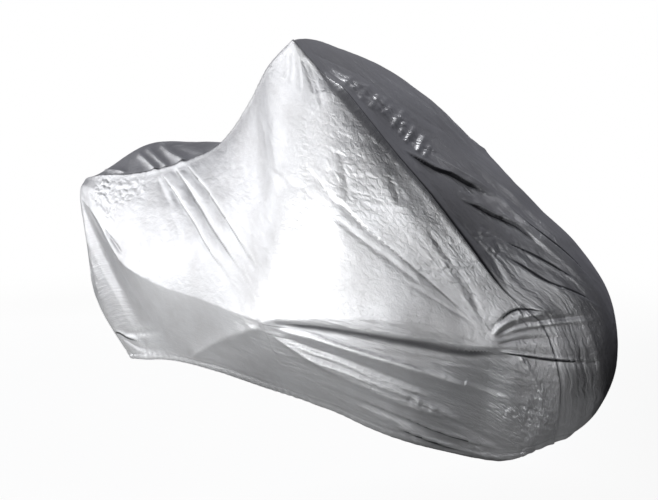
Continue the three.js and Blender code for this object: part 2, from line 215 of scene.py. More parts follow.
# Main folds: side, width and height in mm, and the places on their lines from the tight end on.
MAIN_FOLDS = [
    (RIGHT, 30, -3, [(5.94, 1.29), (6.62, 2.1), (7.18, 2.54), (7.68, 2.84)]),
    (RIGHT, 30, -4, [(6.23, 1.22), (6.88, 2.07), (7.43, 2.49), (7.95, 2.8)]),
    (RIGHT, 30, -4, [(6.48, 1.21), (7.21, 2.06), (7.72, 2.46), (8.2, 2.73)]),
    (RIGHT, 24, -5, [(9.84, 2.34), (11.12, 2.37), (12.9, 2.42), (13.9, 2)]),
    (RIGHT, 32, -12, [(8.4, 3.03), (10.3, 3.1), (12.9, 3.15), (14.4, 2.93)]),
    (RIGHT, 30, 8, [(8.4, 3.08), (10.2, 3.22), (12, 3.34), (14.5, 3.32)]),
    (RIGHT, 30, -7, [(8.9, 3.22), (11.1, 3.41), (12.4, 3.53), (14.6, 3.54)]),
    (RIGHT, 32, 11, [(8.1, 3.13), (10, 3.46), (11.9, 3.65), (14.2, 3.7)]),
    (RIGHT, 30, -9, [(10.4, 3.73), (11.8, 3.82), (12.8, 3.9), (13.95, 3.95)]),
    (RIGHT, 60, 12, [(7.95, 3.07), (7.49, 3.25), (6.17, 3.73), (5.2, 3.94)]),
    (RIGHT, 34, -6, [(0.9, 3.5), (1.8, 3.78), (2.8, 3.95)]),
    (RIGHT, 38, 9, [(10.4, 0.86), (11.07, 0.69), (11.77, 0.6)]),
    (RIGHT, 30, -7, [(11.5, 0.84), (12.34, 0.51), (12.8, 0.4)]),
    (RIGHT, 30, -6, [(12.45, 0.72), (13.15, 0.44), (13.8, 0.38)]),
    (RIGHT, 34, 6, [(12.7, 0.33), (13.56, 0.26), (14.6, 0.11)]),
    (RIGHT, 28, -6, [(13.4, 0.64), (14.06, 0.53), (14.95, 0.15)]),
    (RIGHT, 26, -8, [(14.1, 1.85), (14.33, 1.3), (14.8, 0.74)]),
    (RIGHT, 24, 6, [(14.15, 1.9), (14.46, 1.33), (14.9, 0.76)]),
    (RIGHT, 28, -7, [(14.2, 1.95), (15.13, 0.91), (15.36, 0.14)]),
    (RIGHT, 30, -8, [(14.3, 2.6), (15.54, 1.18), (15.83, 0.19)]),
    (RIGHT, 34, 4, [(5.7, 0.97), (5.1, 0.36)]),
    (RIGHT, 34, 4, [(6.2, 0.98), (5.45, 0.32)]),
    (RIGHT, 34, 4, [(6.6, 0.88), (6.1, 0.4)]),
    (LEFT, 34, 9, [(5.9, 0.97), (5.3, 0.4)]),
    (LEFT, 26, -9, [(6, 1.2), (6.7, 2), (7.3, 2.42), (7.95, 2.85)]),
    (LEFT, 24, -7, [(6.6, 1.15), (7.25, 2), (7.75, 2.42), (8.1, 2.8)]),
    (LEFT, 28, -6, [(9.6, 2.2), (11.3, 2.45), (12.7, 2.45), (13.8, 2.1)]),
    (LEFT, 32, -10, [(8.3, 3.05), (11, 3.2), (13.5, 3.1), (14.4, 2.8)]),
    (LEFT, 32, 9, [(8.2, 3.12), (10.6, 3.4), (13.4, 3.5)]),
    (LEFT, 34, 11, [(8.05, 3.2), (9.6, 3.62), (12.4, 3.84)]),
    (LEFT, 60, 12, [(7.95, 3.1), (6.9, 3.5), (5.7, 3.92)]),
    (LEFT, 34, -6, [(0.9, 3.4), (2, 3.8), (2.9, 3.95)]),
    (LEFT, 38, 7, [(10.3, 0.75), (11.2, 0.6), (12.3, 0.5)]),
    (LEFT, 36, -7, [(11, 0.84), (12, 0.68), (13.1, 0.5)]),
    (LEFT, 28, -8, [(14.1, 1.85), (14.5, 1.2), (14.9, 0.7)]),
]

# Small folds as they lie on the right, with width and height in mm. The left has ones like them.
SMALL_FOLDS = [
    # flank, from under the high corner to the nose point: a broad swell, then fine folds
    (70, 22, [(10.4, 1.05), (10.73, 1.2), (11.2, 1.54), (11.8, 1.85), (12.55, 1.8), (13.3, 1.83), (14, 1.8)]),
    (6, 2, [(11.95, 2.1), (12.9, 2.05), (13.4, 1.9), (14, 1.83)]),
    (6, -2.5, [(12.35, 1.58), (12.85, 1.62), (13.4, 1.6), (14.05, 1.8)]),
    (6, -2, [(12.9, 1.72), (13.5, 1.7), (13.95, 1.8)]),
    (6, 1.5, [(12.45, 2.37), (13.25, 2.37), (13.95, 1.87)]),
    (6, -1.5, [(11.95, 2.58), (12.9, 2.62), (13.9, 1.95)]),
    (6, -3, [(11.6, 1.6), (11.75, 1.7), (11.9, 1.9)]), (6, -2, [(11.8, 1.5), (11.95, 1.75)]),
    (7, -2, [(10.9, 2.1), (11.2, 2.33)]),
    (8, -3, [(10.8, 2.47), (11.7, 2.48), (12.7, 2.53)]), (9, -3, [(8.4, 2.05), (9.3, 2.35), (9.85, 2.47)]),
    # flank, under the high corner, beside the seat part and at the tail
    (8, -3, [(9.67, 1.2), (9.45, 1.6)]), (8, -3, [(9.85, 1.3), (9.6, 2)]), (8, -3, [(10, 1.43), (9.9, 2.1)]),
    (8, -3, [(10.08, 1.5), (10.3, 2.05)]), (8, -3, [(10.2, 1.35), (10.55, 2.05)]),
    (10, -2.5, [(6.3, 1.32), (6.7, 1.84), (7.15, 2.27), (7.5, 2.5)]),
    (10, -2.5, [(5.7, 1.2), (6.15, 1.95)]), (10, -2.5, [(6.08, 1.5), (6.4, 2)]),
    (8, -2.5, [(3.55, 2.7), (3.7, 3.1), (4.4, 3.12), (5, 3.05)]), (6, -3, [(4.4, 2.88), (5.05, 2.9)]),
    (6, -3, [(4.6, 2.84), (5.1, 2.88)]), (6, -3, [(3.75, 2.2), (4.3, 2.35), (4.7, 2.37)]),
    # strip in front of the high corners: a crest, the short folds across it, and streaks
    (7, 4, [(10.52, 0.89), (10.64, 0.87), (10.83, 0.84), (11, 0.77), (11.23, 0.73), (11.46, 0.69),
            (11.75, 0.65)]),
    (7, 4, [(10.64, 0.96), (10.6, 0.7)]), (6, 4, [(10.72, 0.9), (10.76, 0.66)]),
    (7, 4.5, [(10.86, 0.93), (10.74, 0.6)]), (7, -3, [(10.82, 0.9), (10.88, 0.64)]),
    (6, 5, [(10.98, 0.88), (10.89, 0.6)]), (7, 4.5, [(11.02, 0.84), (10.96, 0.52)]),
    (7, 5, [(11.1, 0.8), (11.08, 0.55)]), (7, 7, [(11.28, 0.81), (11.18, 0.46)]),
    (7, 4.5, [(11.21, 0.74), (11.33, 0.5)]), (6, 5, [(11.4, 0.79), (11.33, 0.55)]),
    (7, 7.5, [(11.52, 0.78), (11.4, 0.48)]), (7, -4, [(11.53, 0.74), (11.57, 0.5)]),
    (7, 7.5, [(11.69, 0.74), (11.56, 0.46)]), (6, 5, [(11.79, 0.72), (11.71, 0.5)]),
    (6, 3, [(11.77, 0.6), (12.1, 0.51), (12.35, 0.41), (12.65, 0.32)]),
    (7, 2.5, [(12.78, 0.46), (13.55, 0.39), (14.6, 0.21)]),
    (11, 3.5, [(10.6, 0.3), (11.3, 0.12), (12.1, 0), (13.1, 0.05)]),
    (11, -3.5, [(10.9, 0.1), (11.6, -0.05), (12.4, -0.1)]),
    (10, 3.5, [(11.9, 0.22), (12.6, 0.16), (13.4, 0.14), (14.2, 0.06)]),
    (8, -2.5, [(11, 0.36), (11.55, 0.2), (12.25, 0.15), (13, 0.2)]),
    (8, -2.5, [(10.3, 0.43), (10.9, 0.25), (11.45, 0.1)]),
    (8, -3, [(10.13, 0.94), (10.6, 0.6), (11.35, 0.34), (11.75, 0.1)]),
    (7, -2.5, [(12.2, 0.3), (12.9, 0.22), (13.8, 0.1)]), (7, -2, [(11.2, 0), (12, -0.05), (12.8, 0.02)]),
    (7, -4, [(12.6, 0.93), (13.1, 0.9), (13.6, 0.88), (14.1, 0.95)]),
    # nose, from its side point on
    (7, 4, [(14.15, 1.8), (14.42, 1.46), (14.73, 1.05), (14.92, 0.78)]),
    (7, -5, [(14.22, 1.87), (14.63, 1.42), (15.1, 0.73), (15.2, 0.2)]),
    (6, 3, [(14.37, 1.72), (15.15, 0.75), (15.25, 0.22)]),
    (8, -5, [(14.32, 2.23), (15, 1.6), (15.5, 0.27)]),
    (6, 2.5, [(14.85, 2.47), (15.4, 2.56), (15.9, 2.53), (16.3, 2.78)]),
    # skirt, from the side point to the nose
    (6, -5, [(12.05, 3.61), (12.7, 3.68)]),
    (7, -5, [(12.65, 3.65), (13.15, 3.72), (14.1, 3.79), (15.6, 3.89)]),
    # skirt, round the rear corner
    (7, -5, [(0.9, 3.6), (2.6, 3.82), (4.9, 3.7)]), (7, -4, [(0.85, 3.63), (1.8, 3.9), (4.35, 3.92)]),
    (8, -3, [(2.1, 2.6), (1.6, 3), (1, 3.12)]),
    # seat part
    (9, 11, [(5.72, 1.05), (5.32, 0.74), (4.9, 0.38)]), (9, 13, [(5.95, 1), (5.51, 0.66), (5.1, 0.32)]),
    (13, 17, [(6.4, 1.08), (5.87, 0.64), (5.3, 0.2)]), (14, 13, [(6.75, 1), (6.2, 0.59), (5.7, 0.32)]),
    (9, 8, [(4.85, 0.94), (4.46, 0.84), (4.1, 0.7)]),
]

# Steep folds, with their share of height on the left side, the width and height of their drop in mm and the
# painted shade in them. Seen from outside, the cloth to the left of the line lies higher and drops to its
# right.
PLEATS = [
    # strip in front of the high corners, the last three dropping upwards
    (0, 8, 10, 1.0, [(11.5, 0.9), (11.77, 0.78), (12, 0.7), (12.15, 0.59), (12.36, 0.51), (12.5, 0.44),
                     (12.8, 0.36)]),
    (0, 8, 9, 1.0, [(12.45, 0.76), (12.73, 0.61), (12.9, 0.55), (13.2, 0.42), (13.55, 0.39), (14.2, 0.32)]),
    (0, 8, 5, 0.9, [(14.7, 0.08), (14, 0.23), (13.6, 0.28), (12.7, 0.34)]),
    (0, 8, 5, 0.9, [(14.85, 0.16), (14.1, 0.46), (13.75, 0.55), (13, 0.76)]),
    (0, 8, 6, 0.9, [(15.1, 0.15), (14.7, 0.45), (14.4, 0.6), (13.9, 0.69), (13.4, 0.82)]),
    # nose, from its side point on
    (0.4, 9, 7, 0.8, [(14.15, 1.7), (14.36, 1.25), (14.6, 0.98), (15, 0.72)]),
    (0.4, 9, 9, 1.0, [(14.3, 2.95), (15.15, 2.1), (15.7, 0.92), (15.85, 0.2)]),
    # flank, from the seat part to the side point and from under the high corner to the nose point
    (0.4, 12, 2, 0.58, [(5.75, 1.08), (5.94, 1.29), (6.62, 2.1), (7.18, 2.54), (7.68, 2.84)]),
    (0.4, 13, 3, 0.64, [(6.08, 1.06), (6.23, 1.22), (6.88, 2.07), (7.43, 2.49), (7.95, 2.8)]),
    (0.4, 12, 2.5, 0.62, [(6.33, 1.05), (6.48, 1.21), (7.21, 2.06), (7.72, 2.46), (8.2, 2.73)]),
    (0.4, 12, 3, 0.6, [(9.84, 2.34), (11.12, 2.37), (12.9, 2.42), (13.9, 2)]),
    # skirt, at the rear corner, under its upper edge and along the hem
    (0.4, 9, 4, 0.9, [(0.6, 3.35), (0.94, 3.57), (1.31, 3.75), (2.68, 3.89)]),
    (0.4, 40, 14, 0.6, [(8.3, 3.03), (9.4, 3.06), (10.8, 3.11), (12, 3.15), (13.4, 3.13), (14.3, 2.9),
                        (15.1, 2.2)]),
    (0.4, 9, 11, 0.8, [(10.8, 3.74), (11.8, 3.78), (12.7, 3.84), (13.75, 3.87), (15.2, 3.88)]),
    (0.4, 8, 8, 0.9, [(11.6, 3.89), (12.3, 3.93), (12.8, 3.95), (14.3, 3.97)]),
    # skirt, from the nose back to the side point, dropping upwards
    (0.4, 18, 7, 0, [(15.4, 3.3), (13.1, 3.39), (12, 3.33), (10.9, 3.25), (10, 3.17), (8.3, 3.05)]),
    (0.4, 11, 6.5, 0.3, [(14.2, 3.77), (12.9, 3.66), (12, 3.57), (11.5, 3.54), (10.5, 3.46), (9.3, 3.36),
                         (8.1, 3.1)]),
    (0.4, 10, 5.5, 0, [(12.8, 3.58), (12, 3.52), (11.5, 3.49), (10.6, 3.4), (9.4, 3.3), (8.2, 3.08)]),
]
CREASE_SHARE = (0.42, 0.65)  # width and height of a main fold's sharp crease, as shares of the fold's own
LEFT_SHIFT = (0.16, 0.05)  # how far the left's small folds lie from the right's, in sections and guide places
LEFT_HEIGHT = (0.2, 0.6)  # least and most height of the left's small folds, as shares of the right's

# Spots where the loose cloth is crumpled: place, size in mm and strength.
CRUMPLED = [
    # along the crest in front of the high corner and between the folds below it
    ((10.7, 0.8), 22, 1.2), ((10.9, 0.74), 22, 1.3), ((11.1, 0.68), 22, 1.6), ((11.3, 0.65), 22, 1.7),
    ((11.52, 0.62), 22, 1.7), ((11.75, 0.6), 20, 1.5), ((12.48, 0.57), 18, 1.2), ((13.1, 0.81), 20, 1.1),
    ((13.45, 0.79), 22, 1.2),
    # tail
    ((4.4, 1.6), 45, 0.9), ((4.9, 1.6), 45, 0.9), ((5.3, 1.4), 35, 0.6), ((4.6, 2.3), 40, 0.6),
    ((4.2, 2.2), 35, 0.6),
    # nose
    ((14.6, 1.2), 26, 0.8), ((15.1, 2.5), 22, 0.6), ((15.8, 2.55), 24, 0.7), ((14.7, 3.53), 30, 0.6),
    ((15.3, 3.42), 30, 0.7), ((15.8, 3.2), 34, 0.7), ((16.4, 2.6), 36, 0.7), ((16.9, 1.8), 34, 0.6),
    ((15.4, 3.69), 30, 0.6), ((16.3, 3.4), 30, 0.6),
    # skirt and flank
    ((12.3, 3.65), 24, 0.7), ((11.3, 3.57), 26, 0.6), ((14, 3.9), 30, 0.6), ((10.6, 2.06), 80, 0.12),
    ((10.75, 2.4), 80, 0.12), ((9.15, 2.18), 90, 0.1), ((11.3, 2.1), 80, 0.12), ((12.85, 1.96), 60, 0.2),
]


def from_line(points, line):
    """Distance of points from a chain of straight pieces, their offsets from its nearest piece, the way
    of that piece, and the share of the chain before it."""
    best = np.full(len(points), np.inf)
    place, offset, way = np.zeros(len(points)), np.zeros_like(points), np.zeros_like(points)
    pieces = len(line) - 1
    for k in range(pieces):
        step = line[k + 1] - line[k]
        t = np.clip((points - line[k]) @ step / (step @ step), 0, 1)
        gap = points - line[k] - t[:, None] * step
        away = np.linalg.norm(gap, axis=1)
        closer = away < best
        best[closer], offset[closer], way[closer] = away[closer], gap[closer], step
        place[closer] = (k + t[closer]) / pieces
    return best, offset, way, place


FOLD_REACH = 5  # widths from its line past which a fold no longer tells
FOLD_FADES = (0.15, 0.25)  # shares of its line over which a fold rises at its start and dies to its end
FOLD_TIGHT = 0.6  # share of its width that a fold has at its tight end
FOLD_OPENS = 0.4  # share of its line over which it opens to its full width
FOLD_ROUND = 0.35  # rounding of its crest, as a share of its width there


def fold_push(points, line, width, height):
    """Push of one fold: its height times a falling exponential of the distance from its line.

    The distance is rounded off at the line itself, the fold is narrow at its tight end, and it fades
    at both ends.
    """
    reach = FOLD_REACH * width
    near = ((points > line.min(0) - reach) & (points < line.max(0) + reach)).all(-1)
    away, _, _, place = from_line(points[near], line)
    taper = ramp(place, 0, FOLD_FADES[0]) * ramp(1 - place, 0, FOLD_FADES[1])
    spread = width * (FOLD_TIGHT + (1 - FOLD_TIGHT) * ramp(place, 0, FOLD_OPENS))
    rounding = FOLD_ROUND * spread
    push = np.zeros(points.shape[:-1])
    push[near] = height * taper * np.exp(-(np.sqrt(away**2 + rounding**2) - rounding) / spread)
    return push


PLEAT_REACH = 15  # widths from its line past which a steep fold no longer tells
PLEAT_FADES = (0.2, 0.3)  # shares of its line over which it rises at its start and dies to its end
PLEAT_LIP_MM = 12  # with one width, how far behind the drop the high side falls off
PAINTED_SHADE_SPREAD = (0.25, 0.35)  # half width of the painted shade at the ends, and what it gains by the middle, in widths
PAINTED_SHADE_BELOW = 0.2  # how far down the drop the painted shade lies, in widths


def pleat_push(points, normal, line, side, width, height, painted_shade):
    """Push of one steep fold, a smooth step at its line from the low side to the high side, and the painted
    shade in it, from 0 to 1.

    The high side falls off over 12 mm and one width, and the low side, which lies a third as deep as the
    other is high, over two widths.
    """
    reach = PLEAT_REACH * width
    near = ((points > line.min(0) - reach) & (points < line.max(0) + reach)).all(-1)
    away, offset, way, place = from_line(points[near], line)
    turn = (np.cross(way, offset) * normal[near]).sum(-1)
    high = -side * np.sign(turn) * away
    step = ramp(high, -0.5 * width, 0.5 * width)
    taper = ramp(place, 0, PLEAT_FADES[0]) * ramp(1 - place, 0, PLEAT_FADES[1])
    raised = step * np.exp(-np.maximum(high, 0) / (PLEAT_LIP_MM + width))
    sunk = (1 - step) * np.exp(np.minimum(high, 0) / (2 * width)) / 3
    push, painted_shade_map = np.zeros((2, *points.shape[:-1]))
    push[near] = height * taper * (raised - sunk)
    # painted shade along the drop of the fold, darkest a little below its line
    spread = width * (PAINTED_SHADE_SPREAD[0] + PAINTED_SHADE_SPREAD[1] * np.sin(np.pi * place))
    painted_shade_map[near] = painted_shade * taper * np.exp(-((high + PAINTED_SHADE_BELOW * width) / spread)**2)
    return push, painted_shade_map


LINE_PIECES = 16


def line_through(side, path):
    """Chain of straight pieces along the curve through places on one side."""
    points = np.array([spot(side, place) for place in path])
    return through(points, np.linspace(0, len(path) - 1, LINE_PIECES + 1))


def all_folds():
    """Every fold as (line, width, height): the main ones, the small ones, and their like on the left."""
    draw = np.random.default_rng(5)
    narrow, low = CREASE_SHARE
    rows = [(side, width * narrow, height * low, path) for side, width, height, path in MAIN_FOLDS]
    for width, height, path in SMALL_FOLDS:
        rows.append((RIGHT, width, height, path))
        moved = np.array(path) + draw.uniform(-1, 1, 2) * LEFT_SHIFT
        rows.append((LEFT, width, height * draw.uniform(*LEFT_HEIGHT), moved))
    return [(line_through(side, path), width, height) for side, width, height, path in rows]


FOLDS = all_folds()
PLEAT_LINES = [
    (line_through(side, path), side, width, height * share, painted_shade)
    for left, width, height, painted_shade, path in PLEATS
    for side, share in ((RIGHT, 1), (LEFT, left)) if share
]
BROAD_WAVER, FINE_WAVER = (2.5, 130), (0.8, 45)  # how far folds stray and over what length, in mm
ALONG_FOLDS = np.array([0.8, 0.0, -0.6])  # the way in which most creases run, forward and down
DRAWN_OUT = 0.62  # share by which the creases are stretched along that way
CREASES = ((75, 3.2, 21), (42, -2.4, 22), (24, 1.5, 23))  # size and height in mm, and seed of the noise
CRUMPLES = ((26, 5.5, 24), (15, 2.5, 25))  # the same for the crumples of loose cloth
CREASED, MORE_CREASED = 0.35, 0.6  # share of the creases everywhere, and what crumpled cloth adds to it
MEAN_NOISE = 0.25  # mean size of the noise, taken off so that creases don't swell the cloth


def crumpling(points):
    """How strongly the cloth is crumpled at points: a bell shape round each spot."""
    strength = np.zeros(points.shape[:-1])
    for place, size, extra in CRUMPLED:
        for side in (RIGHT, LEFT):
            strength += extra * np.exp(-((points - spot(side, place))**2).sum(-1) / size**2)
    return strength


def relief(points, normal, crumpled):
    """How far hollows, folds and crumples push points of the smooth cloth outwards, in mm, and the painted
    shade in the steep folds."""
    push, painted_shade_map = np.zeros((2, *points.shape[:-1]))
    for side, place, size, depth in HOLLOWS:
        push -= depth * np.exp(-((points - spot(side, place))**2).sum(-1) / size**2)
    broad, broad_size = BROAD_WAVER
    fine, fine_size = FINE_WAVER
    waver = np.stack([broad * drift(points, broad_size, seed) + fine * drift(points, fine_size, seed + 3)
                      for seed in (11, 12, 13)], -1)
    for line, width, height in FOLDS:
        push += fold_push(points + waver, line, width, height)
    for line, side, width, height, painted_shade in PLEAT_LINES:
        step, inside = pleat_push(points + waver, normal, line, side, width, height, painted_shade)
        push, painted_shade_map = push + step, np.maximum(painted_shade_map, inside)
    # a crease runs where the noise crosses zero, and the cloth slants away from it on both sides
    drawn_out = points - DRAWN_OUT * (points @ ALONG_FOLDS)[..., None] * ALONG_FOLDS
    for size, height, seed in CREASES:
        slant = np.abs(drift(drawn_out, size, seed)) - MEAN_NOISE
        push += (CREASED + MORE_CREASED * crumpled) * height * slant
    for size, height, seed in CRUMPLES:
        push += height * crumpled * (np.abs(drift(points, size, seed)) - MEAN_NOISE)
    return push, painted_shade_map


GATHER_MM, GATHER_DEEP, GATHER_FADE = 31, 1.2, 38  # gathers of the elastic: length, height and reach in mm
PUCKER_MM, PUCKER_DEEP, PUCKER_FADE = 28, 0.6, 12  # puckers along the seams: length, height and reach in mm
CASING_MM = 24  # depth of the turned-up hem
CASING_BULGE = (1.2, 10, 9)  # its height over the elastic, place from the edge and width in mm
SEWING_GROOVE = (1.6, 4)  # depth and width of the groove that the hem's sewing draws in, in mm
LAP_MM = 9  # how far a side laps over the strip
SEAM_STEP_MM = 1.5  # how far the two cloths part at a seam
PAINTED_SEAM_SHADE, LESS_SEAM_SHADE, PAINTED_SEAM_SHADE_MM = 0.9, 0.6, 8  # painted shade under the lap, less of it on the nose, and its width
NOSE_BEGINS = (13.5, 14.5)  # sections between which the strip turns down into the nose


def lengths_along(points, axis):
    """Length of the cloth from the first row or column to each, along the grid, in mm."""
    step = np.linalg.norm(np.diff(points, axis=axis), axis=-1)
    return np.concatenate([np.zeros_like(np.take(step, [0], axis)), np.cumsum(step, axis)], axis)


def wave(s, size, seed):
    """Uneven wave along a length s: a sine whose phase and height drift slowly."""
    at = np.stack([s, np.zeros_like(s), np.zeros_like(s)], -1)
    phase = 3.2 * drift(at, 3.3 * size, seed)
    height = np.clip(0.4 + 1.1 * drift(at, 6 * size, seed + 1), 0, 1.3)
    return np.sin(2 * np.pi * s / size + phase) * height


def sheet_grid(u, v, laid):
    """Folded cloth on a grid of sections u and guide places v, in mm, with its normals, its lengths along
    and across, its push, its crumpling and its painted shade.

    To the relief come puckers that fade away from the seams, and beside the hem gathers, the bulge of
    the casing and the groove of its sewing. laid is 1 for a piece that lies on top at a seam, and -1
    for the one below.
    """
    base = smooth_cloth(u, v)
    normal = outward(u, v)
    crumpled = crumpling(base)
    push, painted_shade_map = relief(base, normal, crumpled)
    across, along = lengths_along(base, 1), lengths_along(base, 0)
    seam_column = np.abs(np.abs(v[0]) - SEAM).argmin()
    seam_run = along[:, seam_column][:, None]
    for edge in (RIGHT, LEFT):
        off_seam = np.abs(v - edge * SEAM)
        if off_seam.min() < 0.02:
            away = np.abs(across - np.take_along_axis(across, off_seam.argmin(1)[:, None], 1))
            push += PUCKER_DEEP * wave(seam_run, PUCKER_MM, 31) * np.exp(-away / PUCKER_FADE)
            push += laid * SEAM_STEP_MM * np.exp(-(away / LAP_MM)**2)
            # painted shade on the strip where it lies under the lap of a side
            painted_seam_shade = (PAINTED_SEAM_SHADE - LESS_SEAM_SHADE * ramp(u, *NOSE_BEGINS)[:, None]) * (laid < 0)
            painted_shade_map = np.maximum(painted_shade_map, painted_seam_shade * np.exp(-(away / PAINTED_SEAM_SHADE_MM)**2))
    # edges with the distance from them, the length along them, their share of gathers and the wave's seed
    edges = [(along, across[0][None, :], 0.25, 41), (along[-1:] - along, across[-1][None, :], 0.5, 43)]
    if np.abs(v).max() >= HEM:
        outer = -1 if v[0, -1] >= HEM else 0
        edges.append((np.abs(across - across[:, [outer]]), along[:, [outer]], 0.8, 45))
    bulge, bulge_at, bulge_wide = CASING_BULGE
    groove, groove_wide = SEWING_GROOVE
    for away, run, share, seed in edges:
        push += share * GATHER_DEEP * wave(run, GATHER_MM, seed) * np.exp(-(away / GATHER_FADE)**2)
        push += (bulge * np.exp(-((away - bulge_at) / bulge_wide)**2)
                 - groove * np.exp(-((away - CASING_MM) / groove_wide)**2))
    points = base + normal * push[..., None]
    folded = unit(np.cross(np.gradient(points, axis=0), np.gradient(points, axis=1)))
    return points, folded, along, across, push, crumpled, painted_shade_map


# Turned edges, as (grid steps back from the edge, mm out past it, mm in under it).
HEM_TURN = [(0, 1.2, 0.6), (0, 1.8, 2.0), (0, 1.2, 3.4), (1, 0, 4.0), (2, 0, 4.2), (3, 0, 4.0), (4, 0, 3.0)]
SEAM_TURN = [(0, 0.5, 0.3), (0, 0.5, 0.9), (0, 0.1, 1.3)]


def turned(count, before, after):
    """Grid numbers with the turned edges added at both ends, and how far out and in each of them lies."""
    start = [(back, -out, deep) for back, out, deep in reversed(before)]
    end = [(count - 1 - back, out, deep) for back, out, deep in after]
    middle = [(k, 0, 0) for k in range(count)]
    number, out, deep = zip(*start, *middle, *end)
    return np.array(number), np.array(out, float), np.array(deep, float)


def add_mesh(name, points, faces, material):
    """New object of a mesh from points in metres and faces, shaded smooth."""
    mesh = bpy.data.meshes.new(name)
    mesh.from_pydata(points, [], faces)
    mesh.polygons.foreach_set("use_smooth", np.ones(len(faces), bool))
    mesh.materials.append(material)
    piece = bpy.data.objects.new(name, mesh)
    bpy.context.scene.collection.objects.link(piece)
    return piece


def linear(colour):
    """Linear RGBA of an sRGB hex colour: a straight line up to 4 percent, and a power of 2.4 above it."""
    share = np.array([int(colour[k:k + 2], 16) / 255 for k in (1, 3, 5)])
    return (*np.where(share <= 0.04045, share / 12.92, ((share + 0.055) / 1.055)**2.4).tolist(), 1.0)


def blank_material(name):
    """New material with an empty node tree, and that tree."""
    material = bpy.data.materials.new(name)
    material.use_nodes = True
    material.node_tree.nodes.clear()
    return material, material.node_tree


def add_node(tree, kind, settings=(), links=()):
    """New shader node with its settings, on properties or on input sockets, and links from other nodes."""
    node = tree.nodes.new("ShaderNode" + kind)
    for name, value in dict(settings).items():
        if isinstance(name, str) and hasattr(node, name):
            setattr(node, name, value)
        else:
            node.inputs[name].default_value = value
    for name, output in dict(links).items():
        tree.links.new(output, node.inputs[name])
    return node


# Silver polyurethane coating on polyester: aluminium flakes give it a broad satin shine that goes dark
# where it mirrors shade. The coat is finely crumpled and dulled by dust. Painted shade darkens it in its deep
# folds and under the laps of its seams, and a painted highlight makes it paler on its crests.
DUST_MM, FACET_MM, WRINKLE_MM, GRAIN_MM = 180, 22, 34, 6  # sizes of the patterns
BEND_MM, BENT_BY_M = 30, 0.02  # size of the lumps by which facets and wrinkles are bent, and how far
silver, tree = blank_material("silver polyurethane coated polyester")
spots = add_node(tree, "TexCoord").outputs
# sockets 0, 6 and 7 of a colour mix are its factor and its two colours, and output 2 is the mixed colour
dust = add_node(tree, "TexNoise", {"Scale": 1000 / DUST_MM, "Detail": 5, "Roughness": 0.6},
                {"Vector": spots["Object"]}).outputs["Fac"]
dulled = add_node(tree, "MapRange", {"From Min": 0.35, "From Max": 0.7, "To Min": 0, "To Max": 1},
                  {"Value": dust}).outputs["Result"]
coat = add_node(tree, "Mix", {"data_type": "RGBA", 6: linear("#d2d3d6"), 7: linear("#c0c0c2")},
                {0: dulled}).outputs[2]
# painted highlight: the coat is made paler on the crests of the folds
painted_highlight = add_node(tree, "Attribute", {"attribute_name": "painted_highlight"}).outputs["Fac"]
pale = add_node(tree, "Mix", {"data_type": "RGBA", 7: linear("#dedfe1")},
                {0: painted_highlight, 6: coat}).outputs[2]
# painted shade: the coat darkens towards a dark blue grey in the steep folds and under the laps
painted_shade = add_node(tree, "Attribute", {"attribute_name": "painted_shade"}).outputs["Fac"]
painted_shade_map = add_node(tree, "MapRange",
                  {"interpolation_type": "SMOOTHSTEP", "From Min": 0.25, "From Max": 0.75,
                   "To Min": 0, "To Max": 0.9}, {"Value": painted_shade}).outputs["Result"]
colour = add_node(tree, "Mix", {"data_type": "RGBA", 7: linear("#38393e")},
                  {0: painted_shade_map, 6: pale}).outputs[2]
satin = add_node(tree, "MapRange", {"From Min": 0, "From Max": 1, "To Min": 0.38, "To Max": 0.45},
                 {"Value": dulled}).outputs["Result"]
# facets, most of them where the cloth is loose, then wrinkles along it where it is drawn, then a fine grain
loose = add_node(tree, "Attribute", {"attribute_name": "crumple"}).outputs["Fac"]
taut = add_node(tree, "Attribute", {"attribute_name": "drawn"}).outputs["Fac"]
bent = add_node(tree, "TexNoise", {"Scale": 1000 / BEND_MM},
                {"Vector": spots["UV"]}).outputs["Color"]
moved = add_node(tree, "VectorMath", {"operation": "MULTIPLY_ADD", 1: (BENT_BY_M, BENT_BY_M, 0)},
                 {0: bent, 2: spots["UV"]}).outputs["Vector"]
drawn_out = add_node(tree, "Mapping", {"Scale": (0.55, 1, 1)}, {"Vector": moved}).outputs["Vector"]
facet = add_node(tree, "TexVoronoi", {"feature": "DISTANCE_TO_EDGE", "Scale": 1000 / FACET_MM},
                 {"Vector": drawn_out}).outputs["Distance"]
some = add_node(tree, "Math", {"operation": "MULTIPLY_ADD", 1: 0.5, 2: 0.09},
                {0: loose}).outputs["Value"]
facets = add_node(tree, "Bump", {"Distance": 0.01},
                  {"Strength": some, "Height": facet}).outputs["Normal"]
long_way = add_node(tree, "Mapping", {"Scale": (0.1, 1, 1)}, {"Vector": moved}).outputs["Vector"]
wrinkle = add_node(tree, "TexNoise", {"Scale": 1000 / WRINKLE_MM, "Detail": 3},
                   {"Vector": long_way}).outputs["Fac"]
wrinkles = add_node(tree, "Bump", {"Distance": 0.008},
                    {"Strength": taut, "Height": wrinkle, "Normal": facets}).outputs["Normal"]
grain = add_node(tree, "TexNoise", {"Scale": 1000 / GRAIN_MM, "Detail": 3, "Distortion": 0.6},
                 {"Vector": spots["UV"]}).outputs["Fac"]
skin = add_node(tree, "Bump", {"Strength": 0.75, "Distance": 0.001},
                {"Height": grain, "Normal": wrinkles}).outputs["Normal"]
shader = add_node(tree, "BsdfPrincipled", {"Metallic": 0.85},
                  {"Base Color": colour, "Roughness": satin, "Normal": skin}).outputs["BSDF"]
add_node(tree, "OutputMaterial", (), {"Surface": shader})

HIGHLIGHT_GAIN = 2.5  # how much paler the coat gets for each mm that a crest stands above the cloth beside it, as a painted highlight
WRINKLED = (0.12, 0.5, 0.4)  # strength of wrinkles everywhere, more where cloth is drawn, and on the strip
LOOSE_BY_SEAM = 0.12  # crumpling of the flank beside its seam


